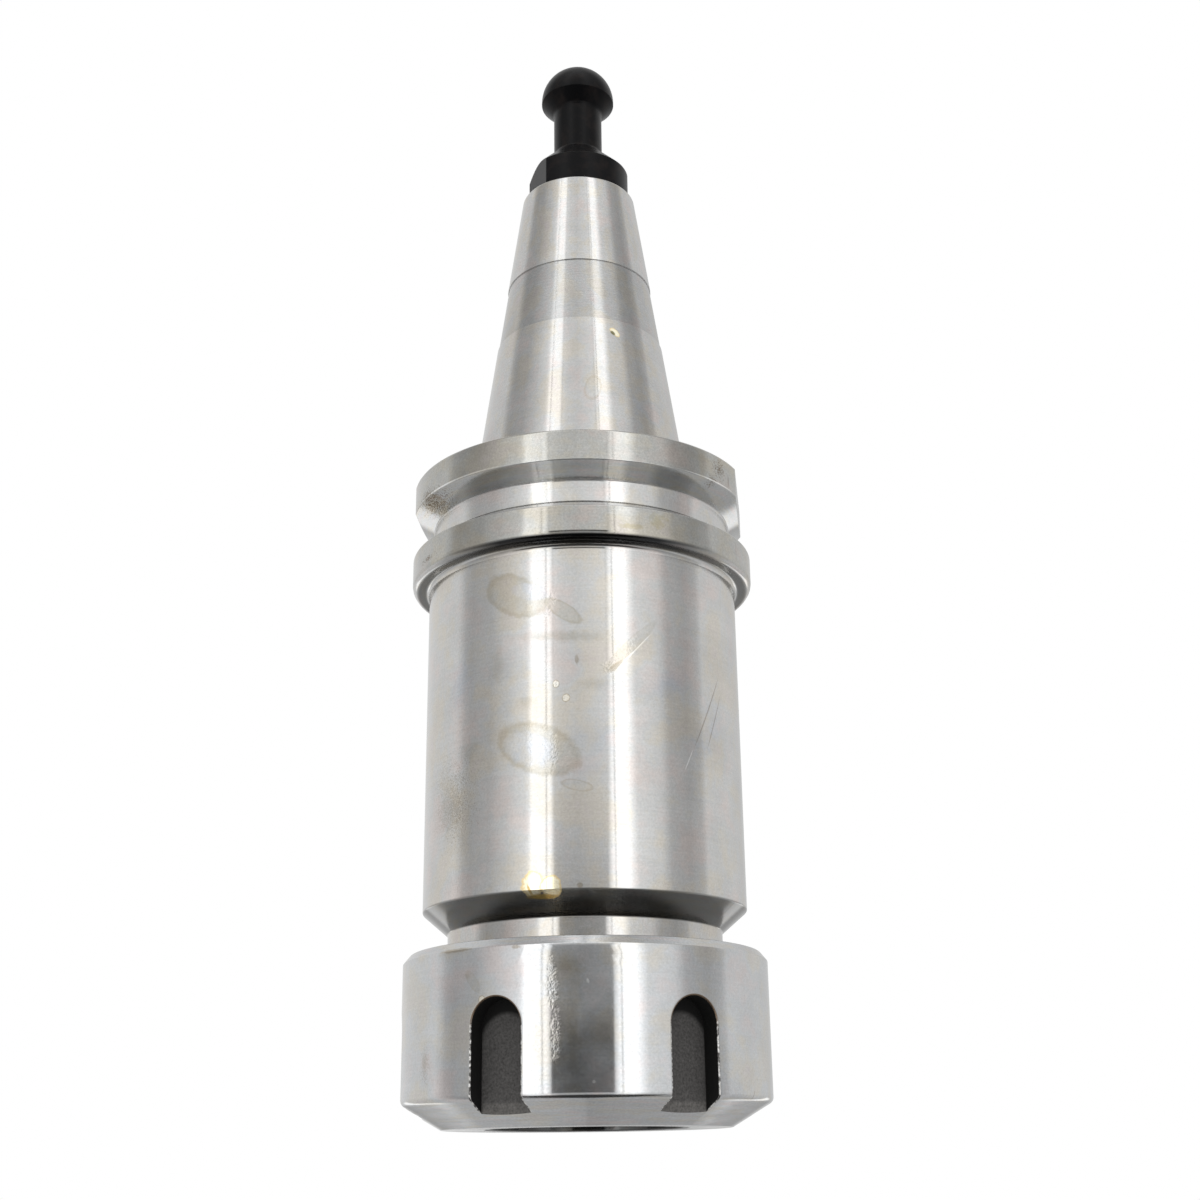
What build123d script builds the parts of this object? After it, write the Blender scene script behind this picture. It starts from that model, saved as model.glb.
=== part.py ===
from build123d import *
from math import cos, radians, sin, tan
import os

os.makedirs("parts", exist_ok=True)

# Holder for collets with an 8 degree taper, on a steep 7:24 taper shank of size 30.
# It stands on the front face of its clamping nut, shank up: Z is the axis, Z = 0 the nut's front face.

# Steep taper shank and gripper flange, sizes of a size 30 shank
gauge_height = 94.3
gauge_dia = 31.75
taper_per_length = 7 / 24
taper_length = 47.8
flange_dia = 50.0
flange_back_from_gauge = 3.2
flange_front_from_gauge = 19.1
flange_back_chamfer = 0.4
flange_front_radius = 1.1
flange_root_radius = 0.8
groove_centre_from_gauge = 11.1
groove_half_angle = 30.0
groove_pin_dia = 7.0
groove_over_pins_dia = flange_dia + 9.3
groove_bottom_dia = flange_dia - 6.2
groove_edge_chamfer = 0.15
flange_flat_depth = 1.4
flange_flat_angle = -10.4
shank_relief_dia = gauge_dia - 1.15
shank_relief_length = 2.4
taper_end_chamfer = 0.3
band_start_from_gauge = 20.8
band_end_from_gauge = 31.6
band_depth = 0.15

# Thread between nut and nose, kept as plain cylinders at the pitch diameter of M40 x 1.5
nose_thread_dia = 39.0
thread_clearance = 0.05
nose_end_gap = 0.3

# Collet body: nose, neck and barrel
nose_chamfer = 1.0
nose_thread_length = 13.2
neck_dia = nose_thread_dia - 1.0
neck_top_above_nut = 3.0
barrel_dia = flange_dia - 5.0
barrel_chamfer_height = 3.0
seat_mouth_dia = nose_thread_dia - 6.0
seat_half_angle = 8.0
seat_length = 37.0
shank_bore_dia = 22.0
shank_bore_length = 17.0
drill_point_angle = 118.0
channel_dia = 8.5

# Clamping nut, as wide as the flange
nut_dia = flange_dia
nut_height = 22.5
nut_mouth_dia = 27.4
nut_mouth_land = 1.2
nut_cone_half_angle = 30.0
nut_cone_top_dia = 33.2
nut_ring_dia = 35.0
nut_ring_height = 1.8
nut_ring_offset = 0.7
nut_relief_dia = nose_thread_dia + 1.6
nut_relief_height = 2.0
nut_lead_in = 0.9
nut_front_chamfer = 5.5
nut_front_chamfer_angle = 30.0
nut_front_edge_radius = 1.0
nut_back_chamfer = 0.9
nut_back_chamfer_height = 1.1
slot_count = 6
slot_width = 7.0
slot_height = 15.3
slot_floor_wall = 2.0
slot_first_angle = 0.0

# Pull stud and the hole that takes it
stud_thread_dia = 10.86
stud_thread_clearance = 0.03
stud_pilot_dia = 12.9
stud_pilot_clearance = 0.05
stud_pilot_length = 5.0
stud_length_below_collar = 20.0
stud_end_chamfer = 1.0
stud_hole_extra_depth = 4.0
stud_collar_dia = 16.1
stud_collar_height = 5.1
stud_neck_dia = 7.8
stud_neck_length = 8.0
stud_knob_dia = 11.8
stud_knob_land = 0.4
stud_cone_angle = 45.0
stud_neck_fillet = 0.9
stud_flat_distance = 7.0
stud_flat_angle = 18.1


def circle_edges(builder, diameter, height):
    """Round edges of a turned piece with this diameter, at this height."""
    return builder.edges().filter_by(GeomType.CIRCLE).filter_by(
        lambda e: abs(e.radius - diameter / 2) < 0.001 and abs(e.arc_center.Z - height) < 0.001
    )


def shank_radius(height):
    """Radius of the steep taper at a height above the nut's face."""
    return gauge_dia / 2 - (height - gauge_height) * taper_per_length / 2


# Heights that the pieces share
cone_top = nut_mouth_land + (nut_cone_top_dia - nut_mouth_dia) / 2 / tan(radians(nut_cone_half_angle))
ledge_height = cone_top + nut_ring_height
nose_height = ledge_height + nose_end_gap
neck_top = nut_height + neck_top_above_nut
flange_front = gauge_height - flange_front_from_gauge
flange_back = gauge_height - flange_back_from_gauge
groove_centre = gauge_height - groove_centre_from_gauge
shank_top = gauge_height + taper_length

# Clamping nut: turned outside, with the collet cone, the extracting ring and the thread bore inside
thread_bore_dia = nose_thread_dia + 2 * thread_clearance
slot_floor_distance = nose_thread_dia / 2 + slot_floor_wall
front_chamfer_height = nut_front_chamfer * tan(radians(nut_front_chamfer_angle))
with BuildPart() as clamping_nut:
    with BuildSketch(Plane.XZ):
        with BuildLine():
            Polyline(
                (0, 0),
                (nut_dia / 2 - nut_front_chamfer, 0),
                (nut_dia / 2, front_chamfer_height),
                (nut_dia / 2, nut_height - nut_back_chamfer_height),
                (nut_dia / 2 - nut_back_chamfer, nut_height),
                (0, nut_height),
                close=True,
            )
        make_face()
    revolve(axis=Axis.Z)
    fillet(circle_edges(clamping_nut, nut_dia, front_chamfer_height), nut_front_edge_radius)
    with BuildSketch(Plane.XZ):
        with BuildLine():
            Polyline(
                (0, 0),
                (nut_mouth_dia / 2, 0),
                (nut_mouth_dia / 2, nut_mouth_land),
                (nut_cone_top_dia / 2, cone_top),
                (nut_cone_top_dia / 2, ledge_height),
                (nut_relief_dia / 2, ledge_height),
                (nut_relief_dia / 2, ledge_height + nut_relief_height),
                (thread_bore_dia / 2, ledge_height + nut_relief_height),
                (thread_bore_dia / 2, nut_height - nut_lead_in),
                (thread_bore_dia / 2 + nut_lead_in, nut_height),
                (0, nut_height),
                close=True,
            )
        make_face()
    revolve(axis=Axis.Z, mode=Mode.SUBTRACT)
    with BuildSketch(Plane.XY.offset(cone_top)):
        with Locations((nut_ring_offset, 0)):
            Circle(nut_ring_dia / 2)
    extrude(amount=nut_ring_height, mode=Mode.SUBTRACT)
    for index in range(slot_count):
        turn = radians(slot_first_angle + index * 360 / slot_count)
        outward = Vector(cos(turn), sin(turn), 0)
        slot_plane = Plane(
            origin=outward * slot_floor_distance,
            x_dir=Vector(-sin(turn), cos(turn), 0),
            z_dir=outward,
        )
        with BuildSketch(slot_plane):
            with Locations((0, (slot_height - slot_width / 2) / 2)):
                Rectangle(slot_width, slot_height - slot_width / 2)
            with Locations((0, slot_height - slot_width / 2)):
                Circle(slot_width / 2)
        extrude(amount=nut_dia / 2, mode=Mode.SUBTRACT)
clamping_nut.part.label = "clamping_nut"
export_step(clamping_nut.part, "parts/clamping_nut.step")

# Holder body: nose, neck, barrel, grooved flange and steep taper, turned and ground in one piece
flat_distance = flange_dia / 2 - flange_flat_depth
flank_slope = tan(radians(groove_half_angle))
pin_centre_radius = (groove_over_pins_dia - groove_pin_dia) / 2
flank_at_pin = groove_pin_dia / 2 / cos(radians(groove_half_angle))
rim_half_width = flank_at_pin + (flange_dia / 2 - pin_centre_radius) * flank_slope
bottom_half_width = flank_at_pin + (groove_bottom_dia / 2 - pin_centre_radius) * flank_slope
thread_end = nose_height + nose_thread_length
band_start = gauge_height + band_start_from_gauge
band_end = gauge_height + band_end_from_gauge
seat_top = nose_height + seat_length
seat_small_radius = seat_mouth_dia / 2 - seat_length * tan(radians(seat_half_angle))
bore_top = seat_top + shank_bore_length
point_height = (shank_bore_dia - channel_dia) / 2 / tan(radians(drill_point_angle / 2))
stud_hole_bottom = shank_top - stud_length_below_collar - stud_hole_extra_depth
stud_pilot_bottom = shank_top - stud_pilot_length - stud_end_chamfer
with BuildPart() as holder_body:
    with BuildSketch(Plane.XZ):
        with BuildLine():
            Polyline(
                (0, nose_height),
                (nose_thread_dia / 2 - nose_chamfer, nose_height),
                (nose_thread_dia / 2, nose_height + nose_chamfer),
                (nose_thread_dia / 2, thread_end),
                (neck_dia / 2, thread_end + (nose_thread_dia - neck_dia) / 2),
                (neck_dia / 2, neck_top),
                (barrel_dia / 2, neck_top + barrel_chamfer_height),
                (barrel_dia / 2, flange_front),
                (flange_dia / 2, flange_front),
                (flange_dia / 2, groove_centre - rim_half_width),
                (groove_bottom_dia / 2, groove_centre - bottom_half_width),
                (groove_bottom_dia / 2, groove_centre + bottom_half_width),
                (flange_dia / 2, groove_centre + rim_half_width),
                (flange_dia / 2, flange_back),
                (shank_relief_dia / 2, flange_back),
                (shank_relief_dia / 2, flange_back + shank_relief_length),
                (shank_radius(gauge_height), gauge_height),
                (shank_radius(band_start), band_start),
                (shank_radius(band_start) - band_depth, band_start),
                (shank_radius(band_end) - band_depth, band_end),
                (shank_radius(band_end), band_end),
                (shank_radius(shank_top), shank_top),
                (0, shank_top),
                close=True,
            )
        make_face()
    revolve(axis=Axis.Z)
    fillet(circle_edges(holder_body, flange_dia, flange_front), flange_front_radius)
    fillet(circle_edges(holder_body, barrel_dia, flange_front), flange_root_radius)
    chamfer(circle_edges(holder_body, flange_dia, flange_back), flange_back_chamfer)
    chamfer(circle_edges(holder_body, flange_dia, groove_centre + rim_half_width), groove_edge_chamfer)
    chamfer(circle_edges(holder_body, flange_dia, groove_centre - rim_half_width), groove_edge_chamfer)
    chamfer(circle_edges(holder_body, 2 * shank_radius(shank_top), shank_top), taper_end_chamfer)
    with BuildSketch(Plane.XZ):
        with BuildLine():
            Polyline(
                (0, nose_height),
                (seat_mouth_dia / 2, nose_height),
                (seat_small_radius, seat_top),
                (shank_bore_dia / 2, seat_top),
                (shank_bore_dia / 2, bore_top),
                (channel_dia / 2, bore_top + point_height),
                (channel_dia / 2, stud_hole_bottom),
                (stud_thread_dia / 2 + stud_thread_clearance, stud_hole_bottom),
                (stud_thread_dia / 2 + stud_thread_clearance, stud_pilot_bottom),
                (stud_pilot_dia / 2 + stud_pilot_clearance, stud_pilot_bottom),
                (stud_pilot_dia / 2 + stud_pilot_clearance, shank_top),
                (0, shank_top),
                close=True,
            )
        make_face()
    revolve(axis=Axis.Z, mode=Mode.SUBTRACT)
    with BuildSketch(Plane.XY.offset(groove_centre)):
        with PolarLocations(flat_distance + flange_dia / 2, 2, start_angle=flange_flat_angle):
            Rectangle(flange_dia, flange_dia)
    extrude(until=Until.LAST, mode=Mode.SUBTRACT)
holder_body.part.label = "holder_body"
export_step(holder_body.part, "parts/holder_body.step")

# Pull stud: thread, pilot, collar with two spanner flats, neck and round knob in one piece
collar_top = shank_top + stud_collar_height
cone_slope = tan(radians(stud_cone_angle))
neck_bottom = collar_top + (stud_collar_dia - stud_neck_dia) / 2 * cone_slope
neck_end = neck_bottom + stud_neck_length
knob_low = neck_end + (stud_knob_dia - stud_neck_dia) / 2 * cone_slope
knob_centre = knob_low + stud_knob_land
stud_bottom = shank_top - stud_length_below_collar
with BuildPart() as pull_stud:
    with BuildSketch(Plane.XZ):
        with BuildLine():
            Polyline(
                (0, knob_centre + stud_knob_dia / 2),
                (0, stud_bottom),
                (stud_thread_dia / 2 - stud_end_chamfer, stud_bottom),
                (stud_thread_dia / 2, stud_bottom + stud_end_chamfer),
                (stud_thread_dia / 2, shank_top - stud_pilot_length),
                (stud_pilot_dia / 2, shank_top - stud_pilot_length),
                (stud_pilot_dia / 2, shank_top),
                (stud_collar_dia / 2, shank_top),
                (stud_collar_dia / 2, collar_top),
                (stud_neck_dia / 2, neck_bottom),
                (stud_neck_dia / 2, neck_end),
                (stud_knob_dia / 2, knob_low),
                (stud_knob_dia / 2, knob_centre),
            )
            CenterArc((0, knob_centre), stud_knob_dia / 2, 0, 90)
        make_face()
    revolve(axis=Axis.Z)
    fillet(circle_edges(pull_stud, stud_neck_dia, neck_bottom), stud_neck_fillet)
    fillet(circle_edges(pull_stud, stud_neck_dia, neck_end), stud_neck_fillet)
    with BuildSketch(Plane.XY.offset(shank_top)):
        with PolarLocations(stud_flat_distance + stud_collar_dia / 2, 2, start_angle=stud_flat_angle):
            Rectangle(stud_collar_dia, 2 * stud_collar_dia)
    extrude(amount=neck_bottom - shank_top, mode=Mode.SUBTRACT)
pull_stud.part.label = "pull_stud"
export_step(pull_stud.part, "parts/pull_stud.step")
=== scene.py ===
from math import acos, atan, cos, pi, radians, sin, sqrt, tan

import bmesh
import bpy
import numpy as np
from mathutils import Matrix, Vector


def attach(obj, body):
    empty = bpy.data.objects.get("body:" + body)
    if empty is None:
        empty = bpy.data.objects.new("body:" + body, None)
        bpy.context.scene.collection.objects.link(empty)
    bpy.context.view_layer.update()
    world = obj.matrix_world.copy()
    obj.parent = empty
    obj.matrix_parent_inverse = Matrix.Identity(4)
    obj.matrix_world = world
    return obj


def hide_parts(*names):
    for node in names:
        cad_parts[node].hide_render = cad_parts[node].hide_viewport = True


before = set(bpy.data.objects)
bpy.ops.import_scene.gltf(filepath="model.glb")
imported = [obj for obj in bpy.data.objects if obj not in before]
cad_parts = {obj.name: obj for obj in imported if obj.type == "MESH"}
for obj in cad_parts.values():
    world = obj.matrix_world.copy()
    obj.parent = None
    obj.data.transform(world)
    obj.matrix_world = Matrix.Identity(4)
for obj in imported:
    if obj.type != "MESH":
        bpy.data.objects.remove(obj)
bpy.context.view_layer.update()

# Holder body: hardened steel, turned and ground in one piece from the threaded nose up to the small end of the
# steep 7:24 taper. Grey, bright, with fine turning lines, a rougher band in the middle of the taper,
# worn flange bands and dried oil on the barrel. Sizes are in millimetres, heights from the nut's front face.
gauge_line = 94.3
gauge_radius = 15.875
taper_slope = 7 / 48
shank_top = gauge_line + 47.8
band_low = gauge_line + 20.8
band_high = gauge_line + 31.6
band_depth = 0.15
flange_low = gauge_line - 19.1
flange_high = gauge_line - 3.2
rim_radius = 25.0
flat_distance = 23.6
flat_turn = radians(-10.4)
groove_middle = gauge_line - 11.1
groove_radius = 21.9
groove_angle = radians(30)
pin_radius = 3.5
pin_middle = 26.15
shank_relief = 15.3
relief_high = flange_high + 2.4
barrel_radius = 22.5
barrel_low = 28.5
neck_radius = 19.0
neck_low = 22.0
neck_high = 25.5
thread_radius = 19.5
thread_high = 21.5
thread_pitch = 1.5
thread_height = 0.44
thread_steepness = 1.35
thread_margin = 0.2
nose_low = 8.323
nose_chamfer = 1.0
seat_mouth = 16.5
seat_end = 11.3
seat_top = nose_low + 37
bore_radius = 11.0
bore_top = 62.32
channel_radius = 4.25
channel_low = 66.4
stud_hole = 5.46
stud_hole_low = shank_top - 24
counterbore = 6.5
counterbore_low = shank_top - 6
arc_steps = 4


def eased(corners, radii):
    """A profile of corners (corner, column, radius and height) with each corner turned into an arc.

    The arc of radius q touches both sides at q / tan(half the corner's angle) from the corner, and its
    centre lies on the corner's bisector at q / sin(half the angle). A radius of 0 leaves the corner sharp.
    """
    before = np.roll(corners, 1, axis=0) - corners
    after = np.roll(corners, -1, axis=0) - corners
    before = before / np.maximum(np.linalg.norm(before, axis=-1, keepdims=True), 1e-9)
    after = after / np.maximum(np.linalg.norm(after, axis=-1, keepdims=True), 1e-9)
    half = np.arccos(np.clip((before * after).sum(-1), -1, 1)) / 2
    size = np.broadcast_to(np.asarray(radii, float)[:, None], half.shape)
    bisector = before + after
    bisector = bisector / np.maximum(np.linalg.norm(bisector, axis=-1, keepdims=True), 1e-9)
    centre = corners + bisector * (size / np.sin(half))[..., None]
    start = corners + before * (size / np.tan(half))[..., None]
    arm = start - centre
    side = np.sign(before[..., 0] * after[..., 1] - before[..., 1] * after[..., 0])
    rows = []
    for share in np.linspace(0, 1, arc_steps + 1):
        swing = -side * share * (pi - 2 * half)
        turned_arm = np.stack(
            [arm[..., 0] * np.cos(swing) - arm[..., 1] * np.sin(swing),
             arm[..., 0] * np.sin(swing) + arm[..., 1] * np.cos(swing)], -1)
        rows.append(centre + turned_arm)
    return np.stack(rows, 1).reshape(-1, corners.shape[1], 2)


def profile(points, columns):
    """Corners as an array (corner, column, 2); each radius or height is a number or one value per column."""
    return np.stack([
        np.stack([np.broadcast_to(np.asarray(value, float), (columns,)) for value in point], -1)
        for point in points])


def turned(rows, angles):
    """Points of a turned surface: (radius cos a, radius sin a, height) for each row and each angle a."""
    return np.stack([rows[..., 0] * np.cos(angles), rows[..., 0] * np.sin(angles), rows[..., 1]], -1)


def grid_faces(rows, columns, start, wrap_rows, wrap_columns):
    """Four-sided faces between neighbouring rows and columns of a grid of numbered points."""
    index = start + np.arange(rows * columns).reshape(rows, columns)
    if wrap_rows:
        index = np.concatenate([index, index[:1]], 0)
    if wrap_columns:
        index = np.concatenate([index, index[:, :1]], 1)
    faces = np.stack([index[:-1, :-1], index[:-1, 1:], index[1:, 1:], index[1:, :-1]], -1)
    return faces.reshape(-1, 4).tolist()


def steel_piece(name, points, faces, finish=None):
    """One smooth mesh from points in millimetres, its doubles merged and its faces pointing outwards.

    Edges that turn more than 38 degrees stay sharp, and large faces lead the shading of small ones beside them.
    """
    mesh = bpy.data.meshes.new(name)
    mesh.from_pydata(points * 0.001, [], faces)
    if finish is not None:
        mesh.polygons.foreach_set("material_index", finish)
    shape = bmesh.new()
    shape.from_mesh(mesh)
    bmesh.ops.remove_doubles(shape, verts=shape.verts, dist=2e-7)
    bmesh.ops.dissolve_degenerate(shape, edges=shape.edges, dist=2e-7)
    bmesh.ops.recalc_face_normals(shape, faces=shape.faces)
    shape.to_mesh(mesh)
    shape.free()
    mesh.polygons.foreach_set("use_smooth", np.ones(len(mesh.polygons), bool))
    mesh.set_sharp_from_angle(angle=radians(38))
    piece = bpy.data.objects.new(name, mesh)
    bpy.context.scene.collection.objects.link(piece)
    weighted = piece.modifiers.new("faces lead", "WEIGHTED_NORMAL")
    weighted.keep_sharp = True
    weighted.weight = 90
    return piece


def angles_with_flats(count, radius, distance, turn, gap):
    """Even angles round a piece, and three close ones at each end of its two opposite flats.

    A flat ends where the circle meets it, at acos(distance / radius) to each side of its middle.
    """
    half = acos(distance / radius)
    ends = (turn + np.array([0, pi])[:, None] + half * np.array([-1, 1])[:, None, None]
            + gap * np.array([-1, 0, 1]))
    return np.unique(np.concatenate([np.linspace(0, 2 * pi, count, endpoint=False), np.mod(ends, 2 * pi).ravel()]))


def clipped(radius, distance, angles, turn):
    """Radius of a round cut by two opposite flats: the smaller of it and distance / cos(angle from the flat)."""
    near = np.abs(np.cos(angles - turn))
    return np.minimum(radius, distance / np.maximum(near, 1e-6))


def thread_rows(radius, low, high, angles, per_pitch):
    """Right-hand thread: the radius swings by the thread's height with height / pitch - angle / full turn.

    The swing is a triangle wave cut flat at crest and root, and it fades out over one pitch at each end.
    """
    heights = np.arange(low, high, thread_pitch / per_pitch)[:, None]
    phase = heights / thread_pitch - angles[None, :] / (2 * pi)
    wave = np.clip((4 * np.abs(phase - np.floor(phase + 0.5)) - 1) * thread_steepness, -1, 1)
    fade = np.clip(np.minimum(heights - low, high - heights) / thread_pitch, 0, 1)
    radii = radius + thread_height * wave * fade
    return np.stack([radii, np.broadcast_to(heights, radii.shape)], -1)


def flank(radius):
    """Half the groove's width at a radius, with sides at 30 degrees that touch a pin laid in the groove.

    It is the pin's radius / cos 30 + (radius - the pin's middle) tan 30.
    """
    return pin_radius / cos(groove_angle) + (radius - pin_middle) * tan(groove_angle)


def taper(height):
    """Radius of the shank's taper: the gauge radius less 7/48 of the height above the gauge line."""
    return gauge_radius - (height - gauge_line) * taper_slope


body_angles = angles_with_flats(360, rim_radius, flat_distance, flat_turn, radians(0.3))
rim = clipped(rim_radius, flat_distance, body_angles, flat_turn)
body_corners = profile([
    (seat_mouth, nose_low), (thread_radius - nose_chamfer, nose_low), (thread_radius, nose_low + nose_chamfer),
    (thread_radius, thread_high), (neck_radius, neck_low), (neck_radius, neck_high), (barrel_radius, barrel_low),
    (barrel_radius, flange_low), (rim_radius, flange_low), (rim_radius, groove_middle - flank(rim_radius)),
    (groove_radius, groove_middle - flank(groove_radius)), (groove_radius, groove_middle + flank(groove_radius)),
    (rim, groove_middle + flank(rim)), (rim, flange_high), (shank_relief, flange_high), (shank_relief, relief_high),
    (gauge_radius, gauge_line), (taper(band_low), band_low), (taper(band_low) - band_depth, band_low),
    (taper(band_high) - band_depth, band_high), (taper(band_high), band_high), (taper(shank_top), shank_top),
    (counterbore, shank_top), (counterbore, counterbore_low), (stud_hole, counterbore_low),
    (stud_hole, stud_hole_low), (channel_radius, stud_hole_low), (channel_radius, channel_low),
    (bore_radius, bore_top), (bore_radius, seat_top), (seat_end, seat_top)], len(body_angles))
body_rows = eased(body_corners, [
    0.3, 0.15, 0.15, 0.15, 0.2, 0.3, 0.25, 0.8, 1.1, 0.15, 0.35, 0.35, 0.15, 0.4, 0.3, 0.1, 0.1, 0.03, 0.03,
    0.05, 0.05, 0.35, 0.1, 0, 0, 0, 0, 0, 0, 0, 0])
nose_thread = thread_rows(
    thread_radius, nose_low + nose_chamfer + thread_margin, thread_high - thread_margin, body_angles, 10)
before_thread = 3 * (arc_steps + 1)
body_rows = np.concatenate([body_rows[:before_thread], nose_thread, body_rows[before_thread:]])
holder = steel_piece(
    "ground_holder", turned(body_rows, body_angles).reshape(-1, 3),
    grid_faces(len(body_rows), len(body_angles), 0, True, True))
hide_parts("holder_body")
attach(holder, "holder")


def put(tree, kind, sockets=None, **settings):
    """A shader node of that kind, its sockets joined to other nodes' outputs or set to plain values."""
    made = tree.nodes.new("ShaderNode" + kind)
    for key, value in settings.items():
        setattr(made, key, value)
    for key, value in (sockets or {}).items():
        if isinstance(value, bpy.types.NodeSocket):
            tree.links.new(value, made.inputs[key])
        else:
            made.inputs[key].default_value = value
    return made


def finish_of(name):
    """A new material with its Principled shader, and the surface's place in Object coordinates."""
    made = bpy.data.materials.new(name)
    made.use_nodes = True
    tree = made.node_tree
    shader = tree.nodes["Principled BSDF"]
    place = put(tree, "TexCoord").outputs["Object"]
    return made, tree, shader, place


def product(tree, first, second):
    """One value times another."""
    return put(tree, "Math", {0: first, 1: second}, operation="MULTIPLY").outputs[0]


def stretched(tree, value, low, high, new_low=0.0, new_high=1.0):
    """A value between low and high laid evenly onto another range, and held at its ends."""
    return put(tree, "MapRange", {"Value": value, "From Min": low, "From Max": high,
                                  "To Min": new_low, "To Max": new_high}).outputs[0]


def between(tree, value, low, high, blur):
    """1 where a value lies between low and high, falling to 0 over blur on both sides."""
    return product(tree, stretched(tree, value, low - blur, low + blur),
                   stretched(tree, value, high - blur, high + blur, 1.0, 0.0))


def ring_of(tree, height, low, high, height_blur, distance, inner, outer, distance_blur):
    """1 in a ring between two heights and two distances from the axis."""
    return product(tree, between(tree, height, low, high, height_blur),
                   between(tree, distance, inner, outer, distance_blur))


def joined(tree, across=0.0, along=0.0, up=0.0):
    """Three values as one vector."""
    return put(tree, "CombineXYZ", {0: across, 1: along, 2: up}).outputs[0]


def in_millimetres(tree, place):
    """Azimuth in degrees from the front, height and distance from the axis in millimetres."""
    parts = put(tree, "SeparateXYZ", {"Vector": put(
        tree, "VectorMath", {0: place, "Scale": 1000.0}, operation="SCALE").outputs[0]})
    front = product(tree, parts.outputs["Y"], -1.0)
    azimuth = put(tree, "Math", {0: parts.outputs["X"], 1: front}, operation="ARCTAN2").outputs[0]
    azimuth = put(tree, "Math", {0: azimuth}, operation="DEGREES").outputs[0]
    flat = put(tree, "VectorMath", {0: joined(tree, parts.outputs["X"], parts.outputs["Y"])}, operation="LENGTH")
    return azimuth, parts.outputs["Z"], flat.outputs["Value"]


def mixed(tree, factor, first, second, blend="MIX"):
    """Two colours mixed by a factor; a plain colour may be given for either."""
    made = put(tree, "Mix", {0: factor}, data_type="RGBA", blend_type=blend)
    for socket, value in ((made.inputs[6], first), (made.inputs[7], second)):
        if isinstance(value, bpy.types.NodeSocket):
            tree.links.new(value, socket)
        else:
            socket.default_value = value
    return made.outputs[2]


def shaded_by(tree, colour, level):
    """A colour times a level."""
    return mixed(tree, 1.0, colour, joined(tree, level, level, level), "MULTIPLY")


def noise_of(tree, vector, scale, detail, roughness):
    """A noise node, its values between 0 and 1 and mostly near 0.5."""
    return put(tree, "TexNoise", {"Vector": vector, "Scale": scale, "Detail": detail, "Roughness": roughness})


def fill_ramp(node, stops):
    """Gives a colour ramp its stops, each a position and a colour."""
    ramp = node.color_ramp
    while len(ramp.elements) < len(stops):
        ramp.elements.new(0.5)
    for element, (position, colour) in zip(ramp.elements, stops):
        element.position = position
        element.color = colour


def node_group(name, takes, gives):
    """A new shader node group, and inside it the sockets of its inputs and outputs."""
    group = bpy.data.node_groups.new(name, "ShaderNodeTree")
    for in_out, sockets in (("INPUT", takes), ("OUTPUT", gives)):
        for label, kind in sockets.items():
            group.interface.new_socket(label, in_out=in_out, socket_type="NodeSocket" + kind)
    return group, group.nodes.new("NodeGroupInput").outputs, group.nodes.new("NodeGroupOutput").inputs


# Turned steel: fine lines round the piece, broad clouds of shade and tint, and a fine grit.
steel, given, made = node_group(
    "turned steel",
    {"Place": "Vector", "Azimuth": "Float", "Height": "Float", "Distance": "Float", "Color": "Color",
     "Roughness": "Float"}, {"Color": "Color", "Roughness": "Float"})
lines_at = joined(steel, product(steel, given["Azimuth"], 0.02), product(steel, given["Distance"], 3.0),
                  product(steel, given["Height"], 3.6))
lines = noise_of(steel, lines_at, 1.0, 3.0, 0.7)
clouds_at = joined(steel, product(steel, given["Azimuth"], 0.06), given["Distance"],
                   product(steel, given["Height"], 0.16))
clouds = noise_of(steel, clouds_at, 1.0, 4.0, 0.6)
grit = noise_of(steel, given["Place"], 3200.0, 2.0, 0.7)
shade = product(steel, stretched(steel, lines.outputs["Fac"], 0.3, 0.7, 0.965, 1.03),
                stretched(steel, clouds.outputs["Fac"], 0.3, 0.7, 0.93, 1.05))
shade = product(steel, stretched(steel, grit.outputs["Fac"], 0.3, 0.7, 0.93, 1.07), shade)
tint = put(steel, "ValToRGB", {"Fac": clouds.outputs["Color"]})
fill_ramp(tint, [
    (0.3, (1.02, 0.975, 1.0, 1)), (0.43, (1.025, 1.0, 0.935, 1)), (0.52, (0.965, 1.0, 1.03, 1)),
    (0.62, (1.035, 0.98, 0.975, 1))])
shaded = shaded_by(steel, given["Color"], shade)
steel.links.new(mixed(steel, 1.0, shaded, tint.outputs["Color"], "MULTIPLY"), made["Color"])
steel.links.new(put(steel, "Math", {
    0: stretched(steel, clouds.outputs["Fac"], 0.3, 0.7, -0.02, 0.03), 1: given["Roughness"]},
    operation="ADD").outputs[0], made["Roughness"])

# Mark shape, for dried marks and painted glints: an ellipse with a ragged outline, as a mask of its inside and one of
# its rim.
mark, given, made = node_group(
    "mark and glint shape",
    {"Vector": "Vector", "Location": "Vector", "Rotation": "Vector", "Scale": "Vector", "Grain": "Float",
     "Core": "Float"}, {"Inside": "Float", "Rim": "Float"})
fitted = put(mark, "Mapping", {name: given[name] for name in ("Vector", "Location", "Rotation", "Scale")},
             vector_type="TEXTURE")
reach = put(mark, "Math", {
    0: put(mark, "VectorMath", {0: fitted.outputs[0]}, operation="LENGTH").outputs["Value"], 1: given["Grain"]},
    operation="ADD").outputs[0]
inside = put(mark, "MapRange", {"Value": reach, "From Min": 1.0, "From Max": given["Core"]},
             interpolation_type="SMOOTHSTEP").outputs[0]
mark.links.new(inside, made["Inside"])
mark.links.new(product(mark, inside, stretched(mark, reach, 0.66, 0.92)), made["Rim"])

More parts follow.
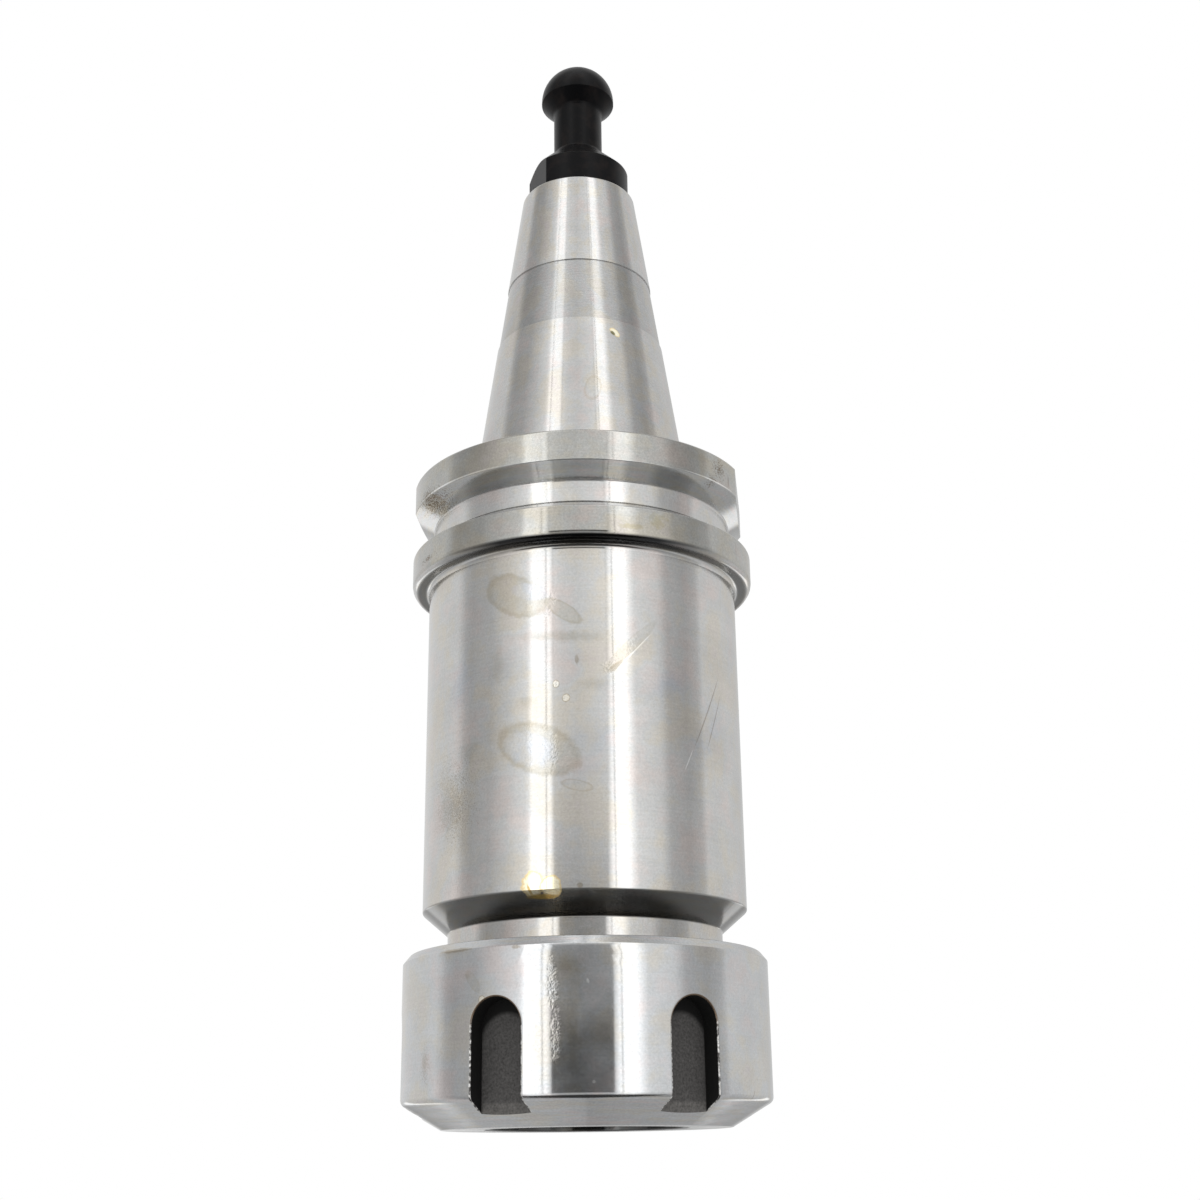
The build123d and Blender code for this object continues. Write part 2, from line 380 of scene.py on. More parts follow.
# Each look has its fill and how strong it is, its rim and how strong that is, how ragged the outline is,
# how far out the full fill reaches (a share of the mark's size), and how lumpy it stands up.
film, fringe = (0.47, 0.435, 0.36, 1), (0.36, 0.32, 0.25, 1)
looks = {
    "film": (film, 0.45, fringe, 0.45, 0.25, 0.8, 0.25),
    "faint": (film, 0.25, fringe, 0.3, 0.25, 0.7, 0.5),
    "soft": ((0.42, 0.39, 0.335, 1), 0.4, film, 0.0, 1.2, 0.1, 0),
    "rosy": ((0.52, 0.47, 0.47, 1), 0.3, film, 0.0, 1.6, 0.0, 0),
    "ring": (film, 0.15, (0.36, 0.3, 0.21, 1), 0.4, 0.25, 0.8, 0),
    "haze": ((0.42, 0.45, 0.51, 1), 0.4, film, 0.0, 1.0, 0.0, 0),
    "brown": ((0.3, 0.25, 0.18, 1), 0.55, fringe, 0.3, 1.0, 0.5, 0.3),
    # Glinting drop: pale dried oil, its pale fill partly a painted highlight.
    "glinting_drop": ((1.0, 0.93, 0.72, 1), 0.9, (0.62, 0.42, 0.14, 1), 0.75, 0.8, 0.85, 0),
    # Glinting bubble: a dark rim round a pale centre that is a painted highlight.
    "glinting_bubble": ((0.9, 0.85, 0.75, 1), 0.7, (0.22, 0.17, 0.1, 1), 0.9, 0.6, 0.8, 0.6),
    "clean": ((0.55, 0.555, 0.57, 1), 0.8, fringe, 0.2, 0.2, 0.75, 0),
    "line": ((0.24, 0.2, 0.17, 1), 0.55, film, 0.0, 0.3, 0.5, 0),
    # Painted highlights: bright glints along a film's edge, a scratch, the band's lower edge and small specks.
    "bright": ((0.95, 0.93, 0.9, 1), 0.6, film, 0.0, 0.3, 0.5, 0),
    "rust": ((0.13, 0.09, 0.05, 1), 0.8, film, 0.0, 9.0, 0.2, 0),
    "dust": ((0.3, 0.27, 0.23, 1), 0.4, film, 0.0, 6.0, 0.1, 0),
    "amber": ((0.5, 0.33, 0.08, 1), 0.8, film, 0.0, 0.6, 0.5, 0),
    "olive": ((0.11, 0.1, 0.03, 1), 0.85, film, 0.0, 0.6, 0.5, 0),
    "stain": ((0.36, 0.33, 0.23, 1), 0.55, (0.28, 0.24, 0.15, 1), 0.3, 2.2, 0.4, 0),
    "pitted": (film, 0.05, film, 0.0, 1.2, 0.4, 1.0)}


def grain_of(tree, place, scale):
    """Noise of that many cells per millimetre, between about -0.25 and 0.25."""
    at = put(tree, "VectorMath", {0: place, "Scale": 1000.0 * scale}, operation="SCALE").outputs[0]
    noise = noise_of(tree, at, 1.0, 3.0, 0.6)
    return put(tree, "Math", {0: noise.outputs["Fac"], 1: 0.5}, operation="SUBTRACT").outputs[0]


def marked(tree, colour, marks, azimuth, height, radius, place):
    """Dried oil, drops, rust, scratches and painted glints laid over a colour, and a mask of those that stand up.

    Each mark has its azimuth and height, half its width and half its height in millimetres, its turn in
    degrees and its look. Azimuth times radius is the distance along the surface.
    """
    per_degree = radius * pi / 180
    surface = joined(tree, product(tree, azimuth, per_degree), height)
    raised = None
    fine, coarse = grain_of(tree, place, 5.0), grain_of(tree, place, 0.9)
    for where, level, half_width, half_height, turn, look in marks:
        fill, strength, edge, edge_strength, ragged, core, lumps = looks[look]
        grain = fine if look in ("rust", "dust") else coarse
        shape = put(tree, "Group", {
            "Vector": surface, "Location": (where * per_degree, level, 0), "Rotation": (0, 0, radians(turn)),
            "Scale": (half_width, half_height, 1), "Core": core, "Grain": product(tree, grain, ragged)},
            node_tree=mark)
        inside = shape.outputs["Inside"]
        colour = mixed(tree, product(tree, inside, strength), colour, fill)
        if edge_strength:
            colour = mixed(tree, product(tree, shape.outputs["Rim"], edge_strength), colour, edge)
        if lumps:
            inside = product(tree, inside, lumps)
            raised = inside if raised is None else put(
                tree, "Math", {0: raised, 1: inside}, operation="MAXIMUM").outputs[0]
    return colour, raised


def finish_steel(tree, shader, place, spot, colour, roughness, raised):
    """Joins turned steel to its shader: lumps of 0.035 mm where marks stand up, gloss drawn out across the lines."""
    lumps = product(tree, grain_of(tree, place, 2.4), raised)
    bump = put(tree, "Bump", {"Strength": 1.0, "Distance": 0.000035, "Height": lumps})
    azimuth, height, distance = spot
    look = put(tree, "Group", {
        "Place": place, "Azimuth": azimuth, "Height": height, "Distance": distance, "Color": colour,
        "Roughness": roughness}, node_tree=steel)
    around = put(tree, "Tangent", direction_type="RADIAL", axis="Z")
    for output, name in ((bump.outputs["Normal"], "Normal"), (look.outputs["Color"], "Base Color"),
                         (look.outputs["Roughness"], "Roughness"), (around.outputs["Tangent"], "Tangent")):
        tree.links.new(output, shader.inputs[name])
    shader.inputs["Metallic"].default_value = 1
    shader.inputs["Anisotropic"].default_value = 0.95
    shader.inputs["Anisotropic Rotation"].default_value = 0.25


# Besides dried oil and stains, the barrel's bright marks and glinting bubbles and drops carry painted highlights.
barrel_marks = [
    (-33.5, 59.2, 1.3, 4.6, 0, "soft"), (-6.0, 62.0, 6.0, 1.1, 0, "soft"), (-14.0, 62.2, 8.0, 0.9, -2, "soft"),
    (0.5, 55.4, 3.0, 1.2, 0, "soft"), (-4.0, 59.0, 3.4, 1.6, 0, "rosy"), (1.0, 48.0, 3.6, 3.4, 0, "haze"),
    (-3.0, 44.0, 4.0, 2.2, 0, "rosy"), (-22.3, 53.3, 1.8, 1.4, 0, "soft"), (-45.0, 48.0, 2.6, 2.4, 30, "soft"),
    (-56.0, 41.0, 3.4, 5.0, 0, "soft"), (45.0, 50.0, 3.5, 7.0, -25, "haze"), (28.0, 56.0, 4.5, 3.0, 30, "haze"),
    (-50.0, 58.0, 3.5, 6.0, -20, "haze"), (-27.0, 68.4, 5.4, 3.0, -28, "film"),
    (-21.5, 68.7, 3.1, 1.35, -15, "clean"), (-9.5, 65.6, 3.2, 1.2, -35, "film"),
    (13.5, 60.9, 5.9, 0.9, 45, "faint"), (14.6, 60.1, 4.4, 0.14, 47, "bright"), (8.0, 57.9, 1.6, 0.5, 40, "brown"),
    (-5.1, 58.7, 0.35, 0.8, 0, "brown"), (-14.0, 66.5, 0.9, 2.6, -25, "pitted"), (5.0, 57.6, 0.8, 1.2, 40, "pitted"),
    (-12.2, 55.5, 0.5, 0.6, 0, "glinting_bubble"), (-8.8, 53.5, 0.6, 0.6, 0, "glinting_bubble"), (-12.8, 46.5, 0.9, 3.0, 0, "pitted"),
    (-18.5, 46.9, 6.6, 3.6, -22, "film"), (-21.5, 46.9, 4.4, 2.5, -20, "clean"), (-5.3, 41.8, 2.4, 0.8, -12, "ring"),
    (-20.3, 29.3, 1.6, 1.7, -25, "glinting_drop"), (-14.2, 28.9, 1.5, 1.5, 20, "glinting_drop"), (-17.6, 27.75, 2.5, 0.35, 0, "amber"),
    (-21.5, 28.6, 0.25, 1.0, 20, "amber"), (-4.7, 28.9, 0.45, 0.4, 0, "brown"), (-55.0, 42.0, 4.6, 5.4, 0, "dust"),
    (-53.0, 40.5, 1.6, 3.6, 0, "dust"), (45.5, 53.4, 7.6, 0.15, 61.7, "line"), (49.0, 52.0, 5.6, 0.12, 66, "line"),
    (35.3, 46.1, 2.2, 0.12, 63, "bright")]
# The bright lines along the lower edge of the upper band are painted highlights.
flange_marks = [
    (-66.0, 85.9, 2.8, 1.2, 0, "film"), (-65.0, 85.9, 2.9, 1.0, 0, "rust"), (54.5, 88.0, 0.25, 1.3, 0, "line"),
    (49.0, 89.0, 1.0, 1.0, 0, "rust"), (45.0, 86.8, 0.7, 0.6, 0, "rust"), (58.3, 77.8, 0.1, 1.9, 0, "line"),
    (21.2, 78.2, 1.5, 1.3, 20, "stain"), (12.5, 77.0, 2.2, 0.5, 0, "stain"), (-20.0, 90.6, 5.0, 0.5, 0, "soft"),
    (-28.0, 78.6, 3.0, 0.8, 0, "soft"), (38.0, 89.4, 4.5, 0.7, 0, "soft"), (-52.0, 86.75, 11.0, 0.16, 0, "bright"),
    (44.0, 86.75, 7.0, 0.14, 0, "bright"), (-66.0, 86.9, 1.6, 0.8, 0, "rust"), (-64.0, 77.0, 1.6, 0.3, 0, "rust"),
    (3.0, 87.5, 2.5, 0.8, 0, "soft")]
# On the taper, the glinting drop is the painted highlight of the olive droplet beside it.
taper_marks = [
    (20.4, 112.8, 0.95, 0.6, -40, "glinting_drop"), (18.9, 112.6, 0.6, 0.38, -40, "olive"),
    (23.5, 111.4, 1.2, 0.25, -45, "ring"), (4.2, 102.5, 1.3, 2.4, -12, "ring"), (30.0, 100.0, 2.0, 3.0, 20, "haze")]

ground_steel, tree, shader, place = finish_of("ground steel")
spot = azimuth, height, distance = in_millimetres(tree, place)
outside = rim_radius + 5
collars = ring_of(tree, height, flange_low + 0.5, flange_high + 0.1, 0.1, distance, flat_distance - 0.1, outside, 0.3)
groove = ring_of(tree, height, groove_middle - flank(rim_radius), groove_middle + flank(rim_radius), 0.15,
                 distance, groove_radius + 0.15, outside, 0.1)
bands = put(tree, "Math", {0: collars, 1: groove}, operation="SUBTRACT", use_clamp=True).outputs[0]
taper_band = between(tree, height, band_low, band_high, 0.1)
# Painted shade: the barrel's downward-facing underside is darkened.
shaded_under_barrel = ring_of(tree, height, neck_high, barrel_low + 0.1, 0.1, distance, neck_radius, barrel_radius, 0.2)
neck = between(tree, height, 15, neck_high, 0.1)
# Painted shade under the collar: its flat underside darkened all round, and its corner near black at the front.
shaded_collar_underside = ring_of(tree, height, flange_low - 0.3, flange_low + 0.1, 0.08, distance, 22.9, rim_radius + 1, 0.1)
collar_shade_ring = ring_of(tree, height, flange_low - 0.3, flange_low + 0.62, 0.15, distance, 23.2, rim_radius + 1, 0.1)
front_shade_under_collar = product(tree, between(tree, azimuth, -46, 38, 16), collar_shade_ring)
speckle_at = put(tree, "VectorMath", {0: place, "Scale": 1000.0}, operation="SCALE").outputs[0]
speckle = noise_of(tree, speckle_at, 3.5, 3.0, 0.65)
blotches = noise_of(tree, speckle_at, 0.35, 3.0, 0.6)
mottle = product(tree, stretched(tree, speckle.outputs["Fac"], 0.35, 0.65, 0.94, 1.06),
                 stretched(tree, blotches.outputs["Fac"], 0.35, 0.65, 0.96, 1.03))
scratched_at = joined(tree, product(tree, azimuth, 0.16), 0.0, product(tree, height, 7.0))
scratched = noise_of(tree, scratched_at, 1.0, 4.0, 0.8)
scratched = stretched(tree, scratched.outputs["Fac"], 0.35, 0.7, 0.93, 1.12)
on_taper = stretched(tree, height, flange_high - 0.1, flange_high)
colour = mixed(tree, on_taper, (0.57, 0.555, 0.535, 1), (0.51, 0.497, 0.48, 1))
colour = mixed(tree, taper_band, colour, shaded_by(tree, (0.425, 0.417, 0.405, 1), scratched))
colour = mixed(tree, bands, colour, shaded_by(tree, (0.43, 0.418, 0.39, 1), mottle))
# The groove and the neck take their own tones; the rest is painted shade under the barrel and the collar.
for where, paint in ((groove, (0.47, 0.465, 0.455, 1)), (neck, (0.51, 0.49, 0.465, 1)),
                     (shaded_under_barrel, (0.16, 0.157, 0.15, 1)), (shaded_collar_underside, (0.23, 0.225, 0.215, 1)),
                     (front_shade_under_collar, (0.045, 0.045, 0.046, 1))):
    colour = mixed(tree, where, colour, paint)
colour, barrel_film = marked(tree, colour, barrel_marks, azimuth, height, barrel_radius, place)
colour, flange_film = marked(tree, colour, flange_marks, azimuth, height, rim_radius, place)
colour, _ = marked(tree, colour, taper_marks, azimuth, height, 14.0, place)
raised = put(tree, "Math", {0: barrel_film, 1: flange_film}, operation="MAXIMUM").outputs[0]
rough = stretched(tree, taper_band, 0.0, 1.0, 0.12, 0.16)
rough = put(tree, "Mix", {0: bands, 2: rough, 3: 0.13}).outputs[0]
rough = put(tree, "Mix", {0: groove, 2: rough, 3: 0.09}).outputs[0]
finish_steel(tree, shader, place, spot, colour, rough, raised)
holder.data.materials.append(ground_steel)

# Pull stud: turned steel, blackened all over, screwed hard into the small end of the taper.
# Its collar has two spanner flats, and the spindle grips it under the round head.
stud_collar = 8.05
stud_flat = 7.0
stud_flat_turn = radians(18.1)
stud_collar_top = shank_top + 5.1
stud_neck = 3.9
stud_neck_low = stud_collar_top + stud_collar - stud_neck
stud_neck_high = stud_neck_low + 8.0
stud_head = 5.9
stud_head_low = stud_neck_high + stud_head - stud_neck
stud_head_middle = stud_head_low + 0.4
stud_thread = 5.43
stud_thread_low = shank_top - 20
stud_pilot = 6.45
stud_pilot_low = shank_top - 5

stud_angles = angles_with_flats(192, stud_collar, stud_flat, stud_flat_turn, radians(0.8))
collar = clipped(stud_collar, stud_flat, stud_angles, stud_flat_turn)
stud_corners = profile([
    (0, stud_thread_low), (stud_thread - 1, stud_thread_low), (stud_thread, stud_thread_low + 1),
    (stud_thread, stud_pilot_low), (stud_pilot, stud_pilot_low), (stud_pilot, shank_top), (collar, shank_top),
    (collar, stud_collar_top + stud_collar - collar), (stud_neck, stud_neck_low), (stud_neck, stud_neck_high),
    (stud_head, stud_head_low), (stud_head, stud_head_middle)], len(stud_angles))
stud_rows = eased(stud_corners, [0, 0.1, 0.1, 0, 0, 0, 0.2, 0.25, 0.9, 0.9, 0.15, 0])
dome = np.linspace(0, pi / 2, 20)[1:]
dome_rows = profile([(stud_head * cos(a), stud_head_middle + stud_head * sin(a)) for a in dome], len(stud_angles))
stud_rows = np.concatenate([stud_rows, dome_rows])
pull_stud = steel_piece(
    "blackened_stud", turned(stud_rows, stud_angles).reshape(-1, 3),
    grid_faces(len(stud_rows), len(stud_angles), 0, False, True))
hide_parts("pull_stud")
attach(pull_stud, "holder")

black_oxide, tree, shader, place = finish_of("black oxide")
worn = stretched(tree, grain_of(tree, place, 0.5), -0.02, 0.2)
tree.links.new(
    mixed(tree, worn, (0.0025, 0.0025, 0.003, 1), (0.009, 0.0065, 0.006, 1)), shader.inputs["Base Color"])
shader.inputs["Roughness"].default_value = 0.3
shader.inputs["Specular IOR Level"].default_value = 0.1
pull_stud.data.materials.append(black_oxide)

# Clamping nut: hardened steel, turned on a fine thread, with six round-topped slots milled for a hook spanner.
# The slots run out through the wide front chamfer; inside is the cone that closes the collet.
nut_radius = 25.0
nut_top = 22.5
nut_bevel = 0.9
bevel_low = 21.4
nut_thread = 19.55
nut_thread_low = 10.3
nut_thread_high = 21.3
nut_relief = 20.3
nut_relief_high = 10.023
ring_low = 6.223
ring_high = 8.023
ring_radius = 17.5
ring_offset = 0.7
cone_low = 1.2
cone_mouth = 13.7
cone_end = 16.6
chamfer_start = 19.5
chamfer_angle = radians(30)
chamfer_slope = tan(chamfer_angle)
chamfer_edge = 1.0
slot_count = 6
half_pitch = pi / slot_count
slot_half = 3.5
slot_floor = 21.9
slot_arc = 15.3 - slot_half
slot_edge = 0.2
slot_columns = 13
land_low = 5.0
land_high = 21.1
land_columns = 10
edge_share = 0.02
side_points = 12
straight_points = 6
# Material slots by face: steel, the slots' painted shade, and the slots' rounded rims.
steel_finish, slot_shade_finish, rim_finish = 0, 1, 2

# The ring: the nut's top, inside and front face, its columns spaced to meet the lands and slots.
corner_radius = sqrt(slot_floor ** 2 + slot_half ** 2)
share = np.concatenate([[0, edge_share], np.linspace(edge_share, 1, land_columns)[1:]])
slot_x = np.linspace(-slot_half, slot_half, slot_columns)
slot_side = atan(slot_half / slot_floor)
land = slot_side + (half_pitch - slot_side) * share
sector = np.concatenate([-land[::-1], np.arctan(slot_x[1:-1] / slot_floor), land])
nut_angles = (2 * half_pitch * np.arange(slot_count)[:, None] + sector[None, :-1]).ravel()
in_slot = np.abs(sector) <= slot_side + 1e-9
mouth_radius = np.where(in_slot, slot_floor / np.cos(sector), corner_radius)
mouth_radius = np.tile(mouth_radius[:-1], slot_count)
ring_inner = ring_offset * np.cos(nut_angles) + np.sqrt(
    ring_radius ** 2 - (ring_offset * np.sin(nut_angles)) ** 2)
nut_corners = profile([
    (nut_radius, land_high), (nut_radius, bevel_low), (nut_radius - nut_bevel, nut_top),
    (nut_thread + nut_bevel, nut_top), (nut_thread, nut_top - nut_bevel), (nut_thread, nut_relief_high),
    (nut_relief, nut_relief_high), (nut_relief, ring_high), (ring_inner, ring_high), (ring_inner, ring_low),
    (cone_end, ring_low), (cone_mouth, cone_low), (cone_mouth, 0), (chamfer_start, 0),
    (mouth_radius, (mouth_radius - chamfer_start) * chamfer_slope)], len(nut_angles))
nut_rows = eased(nut_corners, [0, 0.15, 0.2, 0.15, 0.1, 0, 0, 0, 0.1, 0.1, 0, 0.1, 0.2, 0.2, 0])
bore_thread = thread_rows(nut_thread, nut_thread_low, nut_thread_high, nut_angles, 8)[::-1]
before_thread = 5 * (arc_steps + 1)
nut_rows = np.concatenate([nut_rows[:before_thread], bore_thread, nut_rows[before_thread:]])
ring_points = turned(nut_rows, nut_angles).reshape(-1, 3)
ring_faces = grid_faces(len(nut_rows), len(nut_angles), 0, False, True)


def on_slot(across, out, height):
    """Points beside a slot: across is the distance from its middle plane, out the distance from the axis."""
    return np.stack([out, across, height], -1)


# The lands on the front chamfer and its rounded edge: each row has one radius and height, and its angle
# goes from a slot's side to half way to the next slot.
front = np.linspace(corner_radius, nut_radius - chamfer_edge / 2, 9)
front_rows = np.stack([front, (front - chamfer_start) * chamfer_slope], -1)
edge_bend = radians(90) - chamfer_angle
edge_turn = np.linspace(0, edge_bend, 8)[1:]
edge_height = (nut_radius - chamfer_start) * chamfer_slope + chamfer_slope * chamfer_edge
edge_rows = np.stack([
    nut_radius - chamfer_edge + chamfer_edge * np.cos(edge_bend - edge_turn),
    edge_height - chamfer_edge * np.sin(edge_bend - edge_turn)], -1)
front_rows = np.concatenate([front_rows, edge_rows, [[nut_radius, land_low]]])
depth = np.sqrt(front_rows[:, 0] ** 2 - slot_half ** 2) - slot_floor
front_edge = slot_edge * np.clip(depth / (3 * slot_edge), 0, 1)
side_angle = np.arcsin((slot_half + front_edge) / front_rows[:, 0])
front_angle = side_angle[:, None] + (half_pitch - side_angle[:, None]) * share
front_land = np.stack([
    front_rows[:, :1] * np.cos(front_angle), front_rows[:, :1] * np.sin(front_angle),
    np.broadcast_to(front_rows[:, 1:], front_angle.shape)], -1)
other_front_land = front_land * np.array([1, -1, 1])

# The land round a slot's sides and arch: on the nut's outer radius, the angle and height of each row go
# from a point of the slot's outline to its partner on the border with the ring and the next slots.
straight = np.linspace(land_low, slot_arc, straight_points + 1)[:-1]
swing = np.linspace(0, pi, 2 * side_points + len(sector))
outline_x = np.concatenate([np.full(straight_points, 1.0), np.cos(swing), np.full(straight_points, -1.0)])
outline_z = np.concatenate([straight, np.full(len(swing), slot_arc), straight[::-1]])
outline_up = np.concatenate([np.zeros(straight_points), np.sin(swing), np.zeros(straight_points)])
side = np.linspace(slot_arc, land_high, side_points + 1)[:-1]
outer_angle = np.concatenate([
    np.full(straight_points + side_points, half_pitch), sector[::-1],
    np.full(side_points + straight_points, -half_pitch)])
outer_z = np.concatenate([straight, side, np.full(len(sector), land_high), side[::-1], straight[::-1]])
inner_angle = np.arcsin((slot_half + slot_edge) * outline_x / nut_radius)
inner_z = outline_z + (slot_half + slot_edge) * outline_up
land_angle = inner_angle[:, None] + (outer_angle - inner_angle)[:, None] * share
land_z = inner_z[:, None] + (outer_z - inner_z)[:, None] * share
upper_land = np.stack([nut_radius * np.cos(land_angle), nut_radius * np.sin(land_angle), land_z], -1)

# The slot's wall: at each point of the outline a quarter round of the edge's radius, which stands out from
# the slot by 1 - sin of its bend and goes in by 1 - cos, and then straight in to the flat floor.
bend = np.linspace(0, pi / 2, 5)
front_x = slot_half + front_edge[:, None] * (1 - np.sin(bend))
front_out = np.sqrt(front_rows[:, :1] ** 2 - front_x ** 2) - front_edge[:, None] * (1 - np.cos(bend))
front_z = np.broadcast_to(front_rows[:, 1:], front_x.shape)
arc_reach = slot_half + slot_edge * (1 - np.sin(bend))
arc_x = outline_x[:, None] * arc_reach
arc_out = np.sqrt(nut_radius ** 2 - arc_x ** 2) - slot_edge * (1 - np.cos(bend))
arc_z = outline_z[:, None] + outline_up[:, None] * arc_reach
wall_x = np.concatenate([front_x[:-1], arc_x, -front_x[-2::-1]])
wall_out = np.concatenate([front_out[:-1], arc_out, front_out[-2::-1]])
wall_z = np.concatenate([front_z[:-1], arc_z, front_z[-2::-1]])
down = np.linspace(0, 1, 4)[1:]
wall = on_slot(
    np.concatenate([wall_x, np.repeat(wall_x[:, -1:], len(down), 1)], 1),
    np.concatenate([wall_out, wall_out[:, -1:] + (slot_floor - wall_out[:, -1:]) * down], 1),
    np.concatenate([wall_z, np.repeat(wall_z[:, -1:], len(down), 1)], 1))
mouth_x = slot_x[1:-1]
mouth_z = (slot_floor / np.cos(np.arctan(mouth_x / slot_floor)) - chamfer_start) * chamfer_slope
floor_loop = np.concatenate([wall[:, -1], on_slot(mouth_x, np.full(len(mouth_x), slot_floor), mouth_z)])
rim_columns = len(bend) - 1

nut_points = [ring_points]
nut_faces = list(ring_faces)
nut_finish = [steel_finish] * len(ring_faces)
count = len(ring_points)
for slot in range(slot_count):
    turn = 2 * half_pitch * slot
    matrix = np.array([[cos(turn), -sin(turn), 0], [sin(turn), cos(turn), 0], [0, 0, 1]])
    for patch in (front_land, other_front_land, upper_land, wall):
        rows, columns = patch.shape[:2]
        nut_points.append(patch.reshape(-1, 3) @ matrix.T)
        nut_faces += grid_faces(rows, columns, count, False, False)
        if patch is wall:
            across = [rim_finish] * rim_columns + [slot_shade_finish] * (columns - 1 - rim_columns)
        else:
            across = [steel_finish] * (columns - 1)
        nut_finish += across * (rows - 1)
        count += rows * columns
    nut_points.append(floor_loop @ matrix.T)
    nut_faces.append(list(range(count, count + len(floor_loop))))
    nut_finish.append(slot_shade_finish)
    count += len(floor_loop)
nut = steel_piece("slotted_nut", np.concatenate(nut_points), nut_faces, nut_finish)
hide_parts("clamping_nut")
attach(nut, "nut")

# The nut's bright specks and its glinting bubble carry painted highlights.
nut_marks = [
    (-8.0, 18.9, 2.3, 2.0, 0, "soft"), (-7.5, 18.6, 1.6, 1.4, 0, "soft"), (-12.5, 16.5, 1.0, 4.0, 3, "pitted"),
    (-11.5, 10.5, 0.8, 4.5, 0, "pitted"), (-7.0, 11.0, 1.0, 6.5, 0, "soft"), (-44.5, 21.4, 3.4, 0.35, 0, "brown"),
    (-23.3, 21.2, 0.9, 0.3, 0, "brown"), (-37.5, 17.3, 2.0, 0.75, -52, "faint"), (-39.5, 18.0, 0.7, 0.7, 0, "soft"),
    (-34.2, 15.0, 0.55, 0.6, 0, "glinting_bubble"), (-58.7, 8.2, 1.1, 2.6, 0, "soft"), (-58.0, 7.4, 1.2, 2.4, 0, "dust"),
    (-2.5, 16.8, 0.25, 0.4, 20, "bright"), (-1.1, 4.9, 0.3, 0.25, 0, "bright"), (55.0, 3.5, 0.9, 0.1, 65, "line")]

nut_steel, tree, shader, place = finish_of("nut steel")
spot = azimuth, height, distance = in_millimetres(tree, place)
# Painted shade: the bore and the cone inside the nut are darkened.
bore = stretched(tree, distance, 16.4, 14.6)
colour = mixed(tree, bore, (0.555, 0.55, 0.545, 1), (0.1, 0.098, 0.095, 1))
colour, nut_film = marked(tree, colour, nut_marks, azimuth, height, nut_radius, place)
finish_steel(tree, shader, place, spot, colour, 0.12, nut_film)
nut.data.materials.append(nut_steel)

# Slots' painted shade: the walls and the floor's upper part near black, with a painted shadow of the arch across the
# floor, a lit patch below it, and the floor lighter low down where it flares into the chamfer.
slot_shade, tree, shader, place = finish_of("slot painted shade")
azimuth, height, distance = in_millimetres(tree, place)
on_floor = stretched(tree, distance, corner_radius + 0.05, corner_radius + 0.01)
half_step = 180 / slot_count
aside = put(tree, "Math", {0: azimuth, 1: half_step}, operation="SUBTRACT").outputs[0]
aside = put(tree, "Math", {0: aside, 1: half_step, 2: -half_step}, operation="WRAP").outputs[0]
above = put(tree, "Math", {0: height, 1: slot_arc - 1.9}, operation="SUBTRACT").outputs[0]
above = put(tree, "Math", {0: above, 1: 0.0}, operation="MAXIMUM").outputs[0]
reach = put(tree, "VectorMath", {0: joined(tree, product(tree, aside, slot_floor * pi / 180), above)},
            operation="LENGTH").outputs["Value"]
lit = stretched(tree, reach, 3.9, 3.3)
flare = stretched(tree, height, 2.9, 2.6)
gritty = stretched(tree, grain_of(tree, place, 3.5), -0.25, 0.25, 0.55, 1.45)
matte = mixed(tree, flare, (0.075, 0.072, 0.07, 1), (0.11, 0.105, 0.1, 1))
matte = shaded_by(tree, matte, gritty)
tree.links.new(
    mixed(tree, product(tree, on_floor, lit), (0.008, 0.0078, 0.0075, 1), matte), shader.inputs["Base Color"])
shader.inputs["Roughness"].default_value = 0.75
shader.inputs["Specular IOR Level"].default_value = 0.15
nut.data.materials.append(slot_shade)

slot_rim, tree, shader, place = finish_of("slot rim")
_, height, _ = in_millimetres(tree, place)
arch = stretched(tree, height, 11.5, 13.0)
dents = stretched(tree, grain_of(tree, place, 2.0), -0.06, 0.1)
colour = mixed(tree, dents, (0.12, 0.115, 0.11, 1), (0.75, 0.74, 0.72, 1))
tree.links.new(mixed(tree, arch, colour, (0.2, 0.15, 0.11, 1)), shader.inputs["Base Color"])
shader.inputs["Metallic"].default_value = 1
shader.inputs["Roughness"].default_value = 0.35
nut.data.materials.append(slot_rim)

# Floor: plain and pale, fading to the white around it. Only the camera sees it, and only from above:
# the steel shows the studio instead.
floor_half = 3
floor_mesh = bpy.data.meshes.new("floor")
floor_mesh.from_pydata([
    (-floor_half, -floor_half, 0), (floor_half, -floor_half, 0), (floor_half, floor_half, 0),
    (-floor_half, floor_half, 0)], [], [(0, 1, 2, 3)])
floor = bpy.data.objects.new("floor", floor_mesh)
bpy.context.scene.collection.objects.link(floor)
floor_white, tree, shader, place = finish_of("floor white")
shader.inputs["Base Color"].default_value = (0.86, 0.86, 0.86, 1)
shader.inputs["Roughness"].default_value = 0.8
clear = put(tree, "BsdfTransparent")
back = put(tree, "NewGeometry").outputs["Backfacing"]
seen = put(tree, "LightPath").outputs["Is Camera Ray"]
away = put(tree, "VectorMath", {0: place}, operation="LENGTH").outputs["Value"]
fade = put(tree, "MapRange", {"Value": away, "From Min": 0.15, "From Max": 0.9}, interpolation_type="SMOOTHSTEP")
front_seen = product(tree, put(tree, "Math", {0: 1.0, 1: back}, operation="SUBTRACT").outputs[0], seen)
near = put(tree, "Math", {0: 1.0, 1: fade.outputs[0]}, operation="SUBTRACT").outputs[0]
both = put(tree, "MixShader", {
    0: product(tree, near, front_seen), 1: clear.outputs["BSDF"], 2: shader.outputs["BSDF"]})
tree.links.new(both.outputs["Shader"], tree.nodes["Material Output"].inputs["Surface"])
floor_mesh.materials.append(floor_white)

# Studio: an even white room, and for gloss the tall soft panels and darker gaps that the steel shows.
# Angles are in degrees round the holder from the side that faces the camera, positive to the camera's right.
# Heights are the sine of the elevation.
camera_turn = radians(-3.15)


def grey(level):
    """A grey of that level as a colour."""
    return (level, level, level, 1)


